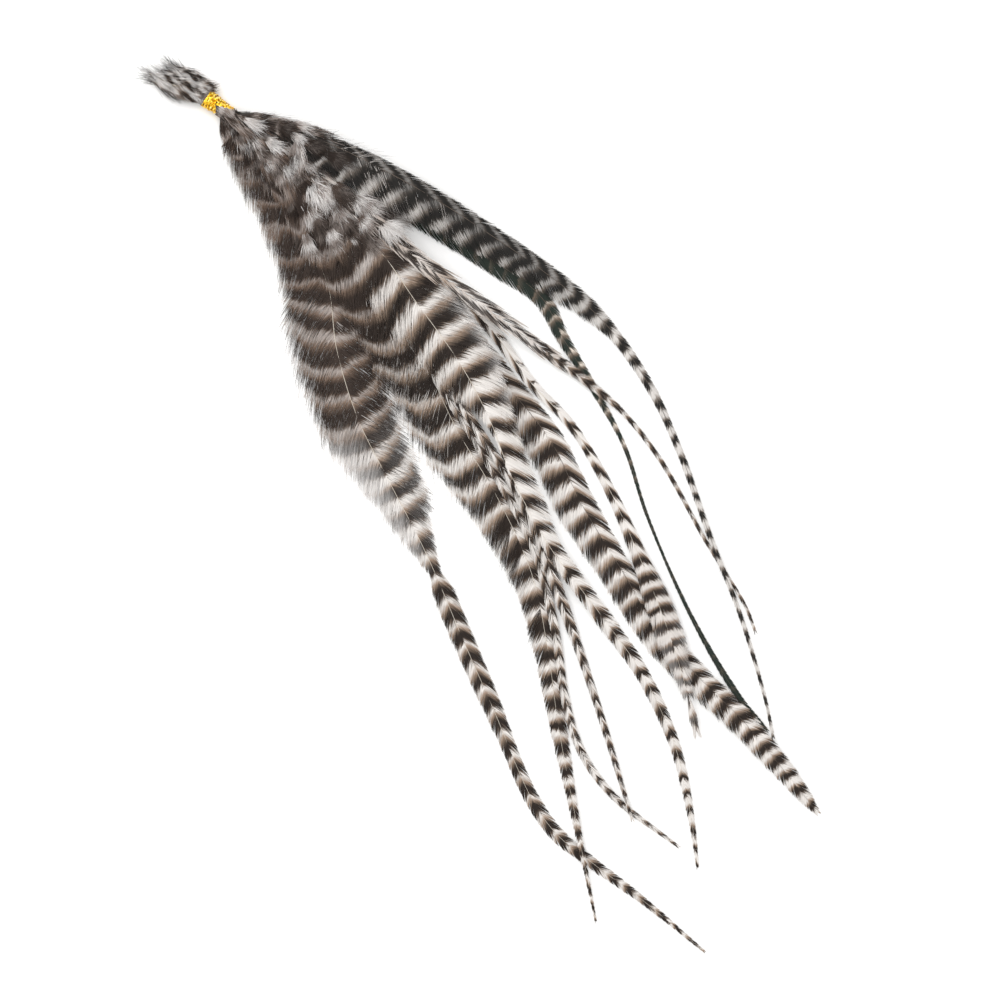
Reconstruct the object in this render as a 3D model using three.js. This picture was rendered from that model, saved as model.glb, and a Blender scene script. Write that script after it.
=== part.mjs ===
// A tied bunch of ten barred cock hackle feathers, lying flat on a surface.
// Millimetres, +Z up. Routes are laid out from the middle of the tie, +Y away from the tips.

import * as THREE from 'three';

// Driving dimensions of the tie
const TIE_LENGTH = 9;
const TIE_DIAMETER = 4.4;
const TIE_BORE = 3.7;
const TIE_RIBS = 10;
const TIE_GROOVE = 0.12;
const TIE_SIDES = 24;
const TIE_HEADING = new THREE.Vector2(0.84, -0.54).normalize();

// Driving dimensions of a feather
const QUILL_WIDTH = 0.5;
const QUILL_HEIGHT = 0.55;
const QUILL_PITCH = 0.8;
const ROW_PITCH = 0.85;
const QUILL_CLEAR = 5.2;
const QUILL_RELEASE = 8.5;
const VANE_THICKNESS = 0.5;
const SHAFT_RISE = 0.5;
const SHAFT_HALF_WIDTH = 0.5;
const BUTT_FAN = 7.5;
const BUTT_DOWN = 0.75;
const BUTT_TAPER = 4;
const BUTT_SPREAD = 3;
const STATION_STEP = 5;
const ROUTE_DIVISIONS = 1200;
const LOCK_DEPTH = 0.28;
const LOCK_SWEEP = 0.35;
const LOCK_LEAST = 0.6;

// Piling: feathers are laid one by one on a height map of those already there
const GAP = 0.34;
const CELL = 0.4;
const FOOTPRINT_STEPS = 20;
const MAP_REACH = 260;
const SETTLE_STEPS = 2;

const MATERIALS = {
  barred: new THREE.MeshStandardMaterial({ color: 0x8c8480, roughness: 0.8, metalness: 0 }),
  black: new THREE.MeshStandardMaterial({ color: 0x2f3a33, roughness: 0.6, metalness: 0 }),
  gold: new THREE.MeshStandardMaterial({ color: 0xd9a520, roughness: 0.3, metalness: 1 }),
};

// Feathers in the order they lie, lowest first. column and row place the quill in the tie.
// route: points of the shaft after the tie. vane: [distance along the shaft, left, right].
const FEATHERS = [
  {
    name: 'black_feather', colour: 'black', column: 1, row: -1, buttLength: 17,
    route: [[18, -8.5], [31, -14], [56, -30], [76, -42.5], [90, -53], [96.5, -65], [105, -79],
      [113.5, -95], [119.5, -113.5], [128.5, -135], [137, -151.5], [146.5, -166.5], [153.5, -174.5]],
    vane: [[18, 1, 1], [34, 3, 3], [64, 3.5, 4], [94, 3.5, 4], [106, 2.5, 2.2], [125, 1.6, 1.6],
      [158, 1, 1], [209, 1, 1], [226, 1.4, 1.3], [238, 1, 1], [243, 0.3, 0.3]],
  },
  {
    name: 'left_long_feather', colour: 'barred', column: -1, row: -1, buttLength: 21,
    route: [[16, -20], [24, -36], [30.5, -50], [33, -68], [39, -87.5], [47.5, -104.5], [58, -125],
      [68.5, -149.5], [77, -169], [87.5, -193.5], [94.5, -203.5], [105, -212], [118.5, -222],
      [136, -236.5]],
    vane: [[10, 7.5, 2], [15, 9.5, 3.5], [24, 9, 6], [45, 9.5, 11], [55, 11.5, 12], [67, 12.3, 12.3],
      [84, 10.7, 12.3], [104, 9.2, 9], [124, 5.6, 7.6], [134, 4, 4], [146, 1.4, 1.4], [152, 3, 3],
      [180, 2.8, 2.8], [200, 2, 2], [226, 2, 2], [242, 1.5, 1.5], [260, 0.9, 0.9], [280, 0.3, 0.3]],
  },
  {
    name: 'broad_right_feather', colour: 'barred', column: 0, row: -1, buttLength: 19,
    route: [[18, -14.5], [32, -28], [64.5, -61], [80, -79.5], [92, -95], [100, -111.5], [111.5, -130.5],
      [122.5, -148.5], [134, -160.5], [146.5, -172], [158, -185.5], [167.5, -197.5]],
    vane: [[16, 1, 1], [32, 4, 4], [60, 6, 6], [98, 6, 5], [124, 5.6, 5.2], [150, 5.6, 5.4],
      [173, 4.6, 4.4], [200, 4.2, 4.2], [228, 3.7, 3.6], [246, 2.8, 2.8], [256, 1.8, 1.8], [262, 0.5, 0.5]],
  },
  {
    name: 'centre_feather', colour: 'barred', column: -1.5, row: 0, buttLength: 20,
    route: [[21, -22], [45, -54], [58.5, -74], [67, -91], [77.5, -108.5], [87.5, -130.5], [92, -151.5],
      [95, -173], [100, -200], [105.5, -228]],
    vane: [[15, 1.5, 1.5], [26, 5, 5], [50, 9, 7], [87, 10, 5], [120, 9.8, 4.2], [134, 9, 3.5],
      [151, 6.7, 3.5], [166, 5, 3.5], [187, 3.3, 3.3], [207, 2.1, 2.1], [222, 1.3, 1.3], [239, 0.7, 0.7],
      [257, 0.3, 0.3]],
  },
  {
    name: 'narrow_feather', colour: 'barred', column: -0.5, row: 0, buttLength: 14,
    route: [[19, -18], [38, -42], [78.5, -104.5], [88.5, -124.5], [94, -146], [97, -166], [101.5, -180.5],
      [110, -192.5], [128.5, -207]],
    vane: [[18, 0.8, 0.8], [40, 1.4, 1.4], [131, 1.3, 1.3], [200, 1.2, 1.2], [218, 1.1, 1.1],
      [231, 0.9, 0.9], [249, 0.4, 0.4]],
  },
  {
    name: 'middle_feather', colour: 'barred', column: 0.5, row: 0, buttLength: 16,
    route: [[20, -17], [40, -42], [73.5, -92], [83, -107], [90, -122], [94.5, -134.5], [101, -152.5],
      [108, -174], [115.5, -199]],
    vane: [[18, 0.8, 0.8], [40, 1.6, 1.6], [131, 1.3, 1.3], [158, 1.8, 1.8], [172, 1.7, 1.7],
      [186, 1.2, 1.2], [220, 0.8, 0.8], [234, 0.4, 0.4]],
  },
  {
    name: 'slashed_feather', colour: 'barred', column: 1.5, row: 0, buttLength: 15,
    route: [[34, -23], [62, -49], [75.5, -61.5], [88, -78], [98.5, -89], [108, -104.5], [117.5, -125.5],
      [126.5, -149], [131, -164], [133.5, -174.5]],
    vane: [[18, 0.8, 0.8], [40, 1.8, 1.8], [102, 1.6, 1.6], [140, 1.2, 1.2], [161, 1.6, 1.6],
      [175, 2.2, 2.2], [189, 3.8, 3.8], [200, 3.9, 3.9], [211, 2.7, 2.7], [219, 0.9, 0.9], [226, 0.5, 0.5]],
  },
  {
    name: 'front_feather', colour: 'barred', column: -1, row: 1, buttLength: 21,
    route: [[23, -20], [45, -40.5], [55, -54.5], [67.5, -72], [75.5, -87], [82, -103.5], [92.5, -123],
      [107.5, -143], [119, -159.5], [128, -180], [132.5, -201], [134, -213]],
    vane: [[15, 1.5, 1.5], [26, 5, 5], [50, 9, 9], [80, 10, 10], [105, 7.5, 9.5], [120, 4, 7],
      [134, 2.8, 4.5], [157, 2.6, 2.7], [182, 2.3, 2.3], [212, 1.7, 1.7], [235, 1.2, 1.2],
      [248, 0.7, 0.7], [258, 0.3, 0.3]],
  },
  {
    name: 'sparse_feather', colour: 'barred', column: 0, row: 1, buttLength: 15,
    route: [[31, -23], [55, -42.5], [81.5, -61.5], [101, -75.5], [113, -85.5], [124, -99.5], [136, -121],
      [147.5, -140], [150, -146.5]],
    vane: [[18, 0.8, 0.8], [40, 2, 2], [81, 2.4, 2.4], [96, 2.8, 2.8], [109, 2.5, 2.5], [127, 1.5, 1.5],
      [142, 0.7, 0.7], [214, 0.4, 0.4]],
  },
  {
    name: 'outer_arc_feather', colour: 'barred', column: 1, row: 1, buttLength: 18,
    route: [[22, -8], [33, -12], [53, -22], [71.5, -33], [92, -47], [107.5, -60], [120.5, -78],
      [129, -96.5], [137.5, -120.5], [146, -142.5], [153, -166.5], [155, -176.5]],
    vane: [[11, 2, 1.6], [15, 4, 2], [24, 6, 2.2], [50, 9.5, 2.6], [79, 6.8, 2.6], [98, 5, 2.6],
      [111, 4.4, 2.6], [120, 3.2, 2.2], [129, 1.7, 1.5], [160, 1, 1], [183, 0.8, 0.8], [252, 0.4, 0.4]],
  },
];

// Straight-line value between listed stops [position, value, value, ...]
function between(stops, at) {
  const last = stops[stops.length - 1];
  if (at <= stops[0][0]) return stops[0].slice(1);
  if (at >= last[0]) return last.slice(1);
  const next = stops.findIndex((stop) => stop[0] > at);
  const [low, high] = [stops[next - 1], stops[next]];
  const share = (at - low[0]) / (high[0] - low[0]);
  return low.slice(1).map((value, i) => value + share * (high[i + 1] - value));
}

// Highest of what lies at each place so far
class HeightMap {
  constructor() {
    this.side = Math.ceil((2 * MAP_REACH) / CELL);
    this.heights = new Float32Array(this.side * this.side).fill(-GAP);
  }

  index(x, y) {
    const column = Math.floor((x + MAP_REACH) / CELL);
    const row = Math.floor((y + MAP_REACH) / CELL);
    return row * this.side + column;
  }

  raise(x, y, z) {
    for (const dx of [-CELL, 0, CELL]) {
      for (const dy of [-CELL, 0, CELL]) {
        const i = this.index(x + dx, y + dy);
        this.heights[i] = Math.max(this.heights[i], z);
      }
    }
  }

  at(x, y) {
    return this.heights[this.index(x, y)];
  }
}

// Centre line of a feather: butt end, straight through the tie, then its route
function centreLine(feather) {
  const outwards = new THREE.Vector2(-TIE_HEADING.y, TIE_HEADING.x);
  const fan = THREE.MathUtils.degToRad(-feather.column * BUTT_FAN);
  const buttHeading = TIE_HEADING.clone().rotateAround(new THREE.Vector2(), fan);
  const inTie = (distance) => TIE_HEADING.clone().multiplyScalar(distance)
    .addScaledVector(outwards, feather.column * QUILL_PITCH);
  const butt = inTie(-QUILL_CLEAR).addScaledVector(buttHeading, QUILL_CLEAR - feather.buttLength);
  const straight = [-QUILL_CLEAR, 0, QUILL_CLEAR, QUILL_RELEASE].map(inTie);
  const points = [butt, ...straight, ...feather.route.map(([x, y]) => new THREE.Vector2(x, y))];
  const onPlane = points.map((point) => new THREE.Vector3(point.x, point.y, 0));
  const curve = new THREE.CatmullRomCurve3(onPlane, false, 'centripetal');
  curve.arcLengthDivisions = ROUTE_DIVISIONS;
  return curve;
}

// Stations along a feather, each with its place, its sideways direction and its vane's reach
function stationsOf(feather) {
  const curve = centreLine(feather);
  const length = curve.getLength();
  const { buttLength } = feather;
  const tipAt = length - buttLength;
  const bare = QUILL_WIDTH / 2;
  const vane = [
    [-buttLength, bare, bare],
    [BUTT_TAPER - buttLength, BUTT_DOWN, BUTT_DOWN],
    [-QUILL_CLEAR - BUTT_SPREAD, 0.55 * BUTT_DOWN, 0.55 * BUTT_DOWN],
    [-QUILL_CLEAR, bare, bare],
    [QUILL_RELEASE, bare, bare],
    ...feather.vane,
  ];
  const butt = [-buttLength, BUTT_TAPER - buttLength, -QUILL_CLEAR - BUTT_SPREAD];
  const held = [-QUILL_CLEAR, 0, QUILL_CLEAR];
  const count = Math.round((tipAt - QUILL_RELEASE) / STATION_STEP);
  const step = (tipAt - QUILL_RELEASE) / count;
  const free = Array.from({ length: count }, (_, i) => QUILL_RELEASE + (i + 1) * step);
  return [...butt, ...held, QUILL_RELEASE, ...free].map((distance, i, all) => {
    const share = THREE.MathUtils.clamp((distance + buttLength) / length, 0, 1);
    const place = curve.getPointAt(share);
    const along = curve.getTangentAt(share).setZ(0).normalize();
    const [left, right] = between(vane, distance);
    const isPlain = Math.max(left, right) < LOCK_LEAST || i === all.length - 1;
    const isHeld = distance <= QUILL_CLEAR;
    const isQuill = distance <= QUILL_RELEASE;
    return { place, along, left, right, isLockTip: i % 2 === 1, isPlain, isHeld, isQuill };
  });
}

// Outline points of a station: where the left and right edges are, locks swept towards the tip
function edgesOf(station) {
  const { place, along, left, right, isLockTip, isPlain } = station;
  const side = new THREE.Vector3(-along.y, along.x, 0);
  const keep = isLockTip || isPlain ? 1 : 1 - LOCK_DEPTH;
  const sweep = isLockTip && !isPlain ? LOCK_SWEEP * Math.min(STATION_STEP, left + right) : 0;
  const edge = (reach) => place.clone().addScaledVector(side, reach * keep).addScaledVector(along, sweep);
  return { left: edge(-left), right: edge(right) };
}

// Highest place that lies under the vane between two stations
function highestUnder(station, neighbour, map) {
  const [near, far] = [edgesOf(station), edgesOf(neighbour)];
  let highest = -GAP;
  for (let a = 0; a <= FOOTPRINT_STEPS; a += 1) {
    const share = a / FOOTPRINT_STEPS;
    const middle = station.place.clone().lerp(neighbour.place, share);
    for (const side of ['left', 'right']) {
      const edge = near[side].clone().lerp(far[side], share);
      for (let c = 0; c <= FOOTPRINT_STEPS; c += 1) {
        const point = middle.clone().lerp(edge, c / FOOTPRINT_STEPS);
        highest = Math.max(highest, map.at(point.x, point.y));
      }
    }
  }
  return highest;
}

// Height of each station: over all that lies beneath it, then evened out without sinking
function settle(stations, feather, map) {
  const needed = stations.map((station, i) => {
    const neighbours = [stations[Math.max(i - 1, 0)], stations[Math.min(i + 1, stations.length - 1)]];
    return GAP + Math.max(...neighbours.map((neighbour) => highestUnder(station, neighbour, map)));
  });
  const rowHeight = TIE_DIAMETER / 2 - QUILL_HEIGHT / 2 + feather.row * ROW_PITCH;
  const heights = needed.map((height, i) => (stations[i].isHeld ? rowHeight : height));
  const nearby = (values, i) => values.slice(Math.max(0, i - SETTLE_STEPS), i + SETTLE_STEPS + 1);
  const raised = heights.map((_, i) => Math.max(...nearby(heights, i)));
  const mean = (values) => values.reduce((sum, value) => sum + value, 0) / values.length;
  const eased = raised.map((_, i) => mean(nearby(raised, i)));
  return eased.map((height, i) => (stations[i].isHeld ? rowHeight : Math.max(height, needed[i])));
}

// Thickness of a section: at the vane's edge, beside the shaft and on top of it
function thicknessOf(station) {
  if (station.isQuill) return { edge: QUILL_HEIGHT / 2, shoulder: 0.8 * QUILL_HEIGHT, top: QUILL_HEIGHT };
  const widest = Math.max(station.left, station.right);
  const edge = VANE_THICKNESS * THREE.MathUtils.clamp(widest, LOCK_LEAST, 1);
  const rise = SHAFT_RISE * THREE.MathUtils.clamp(widest / 2, 0.3, 1);
  return { edge, shoulder: edge, top: edge + rise };
}

// Section of a feather, seen from its quill: flat below, a shaft ridge above
function sectionOf(station, height) {
  const { place } = station;
  const { left, right } = edgesOf(station);
  const { edge, shoulder, top } = thicknessOf(station);
  const beside = (end) => {
    const reach = place.distanceTo(end);
    const inner = Math.min(SHAFT_HALF_WIDTH, reach * 0.55);
    return place.clone().lerp(end, inner / reach).setZ(height + shoulder);
  };
  return [
    left.clone().setZ(height),
    left.clone().setZ(height + edge),
    beside(left),
    place.clone().setZ(height + top),
    beside(right),
    right.clone().setZ(height + edge),
    right.clone().setZ(height),
  ];
}

// Adds the upper surface between two sections to the height map
function pressInto(map, sections) {
  const steps = (...lengths) => Math.ceil(Math.max(...lengths) / (CELL / 2));
  for (let i = 1; i < sections.length; i += 1) {
    for (let k = 1; k + 2 < sections[i].length; k += 1) {
      const [a, b] = [sections[i - 1][k], sections[i - 1][k + 1]];
      const [c, d] = [sections[i][k], sections[i][k + 1]];
      const alongSteps = steps(a.distanceTo(c), b.distanceTo(d));
      const acrossSteps = steps(a.distanceTo(b), c.distanceTo(d));
      for (let m = 0; m <= acrossSteps; m += 1) {
        const start = a.clone().lerp(b, m / acrossSteps);
        const end = c.clone().lerp(d, m / acrossSteps);
        for (let n = 0; n <= alongSteps; n += 1) {
          const point = start.clone().lerp(end, n / alongSteps);
          map.raise(point.x, point.y, point.z);
        }
      }
    }
  }
}

// Closed body through a row of sections with the same number of points
function skin(sections) {
  const size = sections[0].length;
  const positions = sections.flat().flatMap((point) => point.toArray());
  const triangles = [];
  for (let i = 0; i + 1 < sections.length; i += 1) {
    for (let k = 0; k < size; k += 1) {
      const [a, b] = [i * size + k, i * size + ((k + 1) % size)];
      triangles.push(a, a + size, b, b, a + size, b + size);
    }
  }
  const end = (sections.length - 1) * size;
  for (let k = 1; k + 1 < size; k += 1) {
    triangles.push(0, k, k + 1);
    triangles.push(end, end + k + 1, end + k);
  }
  const geometry = new THREE.BufferGeometry();
  geometry.setAttribute('position', new THREE.Float32BufferAttribute(positions, 3));
  geometry.setIndex(triangles);
  geometry.computeVertexNormals();
  return geometry;
}

function makeFeather(feather, map) {
  const stations = stationsOf(feather);
  const heights = settle(stations, feather, map);
  const sections = stations.map((station, i) => sectionOf(station, heights[i]));
  pressInto(map, sections);
  const mesh = new THREE.Mesh(skin(sections), MATERIALS[feather.colour]);
  mesh.name = feather.name;
  return mesh;
}

// Ribbed sleeve of wound tinsel, bored for the quills
function makeTie() {
  const rib = TIE_LENGTH / TIE_RIBS;
  const profile = [new THREE.Vector2(TIE_BORE / 2, -TIE_LENGTH / 2)];
  for (let i = 0; i < TIE_RIBS; i += 1) {
    const start = -TIE_LENGTH / 2 + i * rib;
    profile.push(new THREE.Vector2(TIE_DIAMETER / 2 - TIE_GROOVE, start));
    profile.push(new THREE.Vector2(TIE_DIAMETER / 2, start + rib / 2));
  }
  profile.push(new THREE.Vector2(TIE_DIAMETER / 2 - TIE_GROOVE, TIE_LENGTH / 2));
  profile.push(new THREE.Vector2(TIE_BORE / 2, TIE_LENGTH / 2));
  profile.push(profile[0].clone());
  const mesh = new THREE.Mesh(new THREE.LatheGeometry(profile, TIE_SIDES), MATERIALS.gold);
  mesh.name = 'gold_tie';
  mesh.rotation.z = Math.atan2(TIE_HEADING.y, TIE_HEADING.x) - Math.PI / 2;
  mesh.position.z = TIE_DIAMETER / 2;
  return mesh;
}

const bunch = new THREE.Group();
const map = new HeightMap();
for (const feather of FEATHERS) bunch.add(makeFeather(feather, map));
bunch.add(makeTie());

// Origin below the middle of the whole bunch, on the surface it lies on
const box = new THREE.Box3().setFromObject(bunch);
const middle = box.getCenter(new THREE.Vector3());
bunch.position.set(-middle.x, -middle.y, -box.min.z);

const part = new THREE.Group();
part.add(bunch);

export default part;
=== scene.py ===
import math
import bpy
import numpy as np
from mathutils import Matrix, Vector
from mathutils.bvhtree import BVHTree


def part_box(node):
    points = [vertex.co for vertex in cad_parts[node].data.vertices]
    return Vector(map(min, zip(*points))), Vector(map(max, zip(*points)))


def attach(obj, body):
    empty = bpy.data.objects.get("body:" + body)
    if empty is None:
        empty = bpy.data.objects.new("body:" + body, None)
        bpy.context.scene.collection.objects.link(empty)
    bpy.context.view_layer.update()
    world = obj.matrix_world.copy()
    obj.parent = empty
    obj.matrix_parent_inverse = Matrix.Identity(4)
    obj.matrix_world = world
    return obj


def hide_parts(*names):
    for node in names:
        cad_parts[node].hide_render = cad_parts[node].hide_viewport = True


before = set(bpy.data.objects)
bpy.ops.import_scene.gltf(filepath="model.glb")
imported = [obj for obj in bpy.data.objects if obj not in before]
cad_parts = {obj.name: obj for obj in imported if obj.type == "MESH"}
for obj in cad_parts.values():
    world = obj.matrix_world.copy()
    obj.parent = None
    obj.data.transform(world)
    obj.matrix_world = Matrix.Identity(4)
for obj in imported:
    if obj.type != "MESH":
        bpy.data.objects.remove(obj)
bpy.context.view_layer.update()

MM = 0.001
UP = np.array([0.0, 0.0, 1.0])

# The tie, and how the quills pass through it, in millimetres
TIE_LENGTH = 9.0
TIE_DIAMETER = 4.4
TIE_ROUNDING = 0.9
TIE_HEADING = np.array([0.84, -0.54]) / math.hypot(0.84, 0.54)
TIE_ACROSS = np.array([-TIE_HEADING[1], TIE_HEADING[0]])
QUILL_PITCH = 0.8
QUILL_CLEAR = 5.2
QUILL_RELEASE = 8.5
BUTT_FAN = math.radians(7.5)

# The tinsel: a tight winding, and where and how slanted each slack turn lies across it
TINSEL_TURNS = 21
TINSEL_HALF_WIDTH = 0.23
TINSEL_HALF_DEPTH = 0.05
SLACK_TURNS = ((-3.4, 0.7), (-2.6, 1.1), (-1.8, -1.0), (-0.9, -1.4), (1.4, 1.3), (2.9, -0.9))

# The shafts and the barbs, in millimetres
SHAFT_ROOT_RADIUS = 0.14
SHAFT_TIP_RADIUS = 0.03
QUILL_SWELL = 0.2
SHAFT_SIDES = 6
SHAFT_LIFT = 0.27
SHAFT_WAVE = 0.09
SHAFT_WAVE_PITCH = 17.0
SHAFT_STRIP = 0.05
VANE_LIFT = 0.25
VANE_START = 4.6
COURSE_STEP = 1.0
COURSE_SPARE = 14.0
FLOOR_GAP = 0.05
STEEP_LEAN = math.radians(62)
SLIM_LEAN = math.radians(40)
SLIM_REACH = 4.2
FINE_SPACING = 2.2
FINE_WIDTH = 0.42
BUNDLE_BARBS = 11
BUNDLE_BARB_WIDTH = 0.26
BUNDLE_LEAN = math.radians(17)

# The bars: how round their points are, and how many are carried on past the marks or kept in a table
BAR_ROUND = (0.3, 2.4)
BAR_ROUND_SHARE = 0.3
BARS_SPARE = 20
BARS_BEFORE = 60
BARS_KEPT = 160

# Down: where it is rooted, how many strands, how far they run and spread, and on which sides
DOWN = {"span": (4.6, 24), "count": 380, "run": (7, 15), "spread": (2, 6)}
BUTT_DOWN = {"count": 480, "run": (5, 9), "spread": (2.2, 4.6), "stop": -5.4}
THICK_FLANK = {"span": (1.5, 8), "count": 900, "run": (4, 10), "spread": (6, 11), "sides": (-1.0,)}
THIN_FLANK = {"span": (0.5, 5), "count": 220, "run": (6, 11), "spread": (3, 6), "sides": (-1.0,)}
DOWN_BAR_PITCH = 6.6
COVER_COUNT = 560
WISP_COUNT = 60
FAINT_TUFTS = 20
NEAR_TIE = 48
NEAR_FADE = 10
BEHIND_TIE = 3.5
BEHIND_FADE = 1.4
TUFT_RANGE = 62

# The tufts of down near the tie: x and y from the tie, half length, half width, heading in degrees, and
# tone from -1 for dark to 1 for pale
TUFTS = [
    (3.2, -3.8, 1.8, 1.0, -40, -1.0),
    (12.0, -3.2, 3.4, 0.8, -20, -1.0),
    (10.2, -5.9, 2.8, 1.1, -28, 0.8),
    (8.2, -9.2, 1.9, 0.9, -38, -1.0),
    (16.0, -11.6, 2.6, 1.4, -32, 0.8),
    (5.5, -8.6, 3.0, 1.1, -55, 0.15),
    (16.3, -15.0, 2.4, 1.1, -45, -0.5),
    (19.3, -7.2, 2.8, 1.6, -25, -1.0),
    (23.8, -6.6, 2.4, 0.9, -22, 0.35),
    (22.2, -9.6, 2.2, 1.0, -30, 0.7),
    (27.2, -12.2, 3.2, 1.4, -28, -1.0),
    (25.0, -16.6, 2.6, 1.2, -35, 0.75),
    (19.9, -18.6, 2.2, 1.3, -50, 0.65),
    (12.5, -17.0, 4.6, 1.8, -60, -0.35),
    (33.2, -15.4, 3.4, 1.5, -28, -1.0),
    (23.6, -21.4, 2.8, 1.4, -52, -0.7),
    (21.2, -27.4, 3.2, 1.6, -65, -0.6),
    (28.4, -24.8, 3.4, 2.8, -52, 1.0),
    (34.6, -25.0, 3.4, 2.0, -55, -0.65),
    (40.9, -28.0, 3.8, 2.8, -40, 0.55),
    (45.4, -28.4, 3.0, 1.8, -25, -0.7),
    (50.0, -30.0, 3.4, 2.6, -8, 0.3),
    (48.4, -35.2, 3.2, 2.4, -42, 0.8),
    (34.0, -30.2, 2.6, 1.5, -58, 0.4),
    (25.6, -31.2, 2.6, 1.4, -68, 0.3),
    (41.2, -33.2, 2.6, 1.4, -50, 0.3),
    (36.8, -34.0, 3.2, 1.3, -58, -0.7),
    (28.6, -34.6, 3.2, 1.3, -70, -0.7),
    (32.5, -37.2, 2.8, 1.6, -65, 0.35),
    (22.0, -34.0, 3.6, 1.3, -72, -0.6),
    (25.2, -38.4, 3.0, 1.5, -72, 0.4),
    (42.0, -37.8, 3.4, 1.5, -52, -0.65),
]

# What most feathers share. A stop is a distance and a value, or one value to the left and one to the right.
# Bars slant by the chevron's millimetres for each one off the shaft, and more past the hook's reach, and
# their marks hold at the bar base. Dark is a bar's dark share; dull and fade tint the vane, and haze blurs
# the down's bars and dims its pale with painted shade. Clump and hold draw barbs together, and scatter and
# ragged shift their bars. Stray hairs say from where to where, how many, the side, how far past the edge and
# the dark share, and bundles from where to where and the pitch.
USUAL = {
    "slot": "barred_feather", "shaft": "dark", "bar_base": 0, "soft_until": 25, "chevron": [(0, 0)],
    "dull": [(0, 0)], "fade": [(0, 0)], "fade_power": 2, "haze": [(0, 0.9), (38, 0.7), (56, 0)],
    "hook": (0, 0), "clump": 1.3, "hold": (0.2, 0.75), "scatter": 0.025, "ragged": 0.28, "stray": [],
    "bundles": None, "profile": "barred", "shift": [(0, 0)], "flank_down": None,
}

# What the broad vanes share, and what the slimmest ones share
BROAD = {"bar_base": 3, "spacing": 0.115, "barb_width": 0.2, "lean": 0.95, "shaft": "pale"}
SLIM = {"spacing": 0.17, "barb_width": 0.18, "lean": 0.7, "scatter": 0.08, "ragged": 0.6}

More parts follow.
